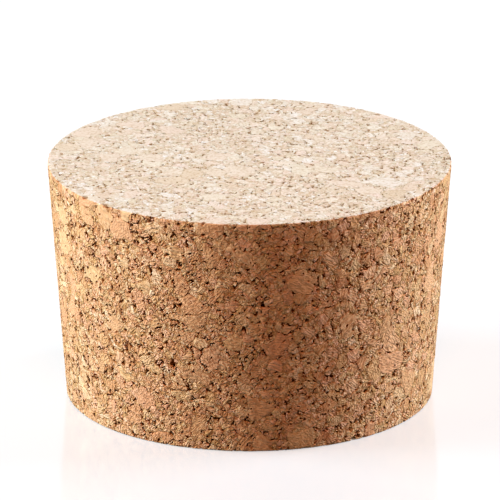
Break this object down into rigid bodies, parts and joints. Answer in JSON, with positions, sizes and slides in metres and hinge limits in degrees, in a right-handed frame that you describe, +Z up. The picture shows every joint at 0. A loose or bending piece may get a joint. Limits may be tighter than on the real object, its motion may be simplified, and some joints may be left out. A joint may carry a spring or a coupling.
{
  "type": "cork stopper",
  "caption": "Solid tapered stopper of pressed cork granules with flat sawn ends and a ground side, pushed narrow end first into a wide mouth to seal it.",
  "frame": {"origin": "centre of the narrow end's face, which is what the stopper stands on", "axes": "+Z up along the stopper's axis, from the narrow end to the wide end; the side seen from the front faces -Y"},
  "size_m": [0.0634, 0.0634, 0.0381],
  "materials": {
    "cork": "matte pressed cork granules in tan, rose and olive brown, with open dark voids; sawn ends paler than the ground side"
  },
  "bodies": {
    "root": {"stopper": "cork"}
  },
  "joints": []
}
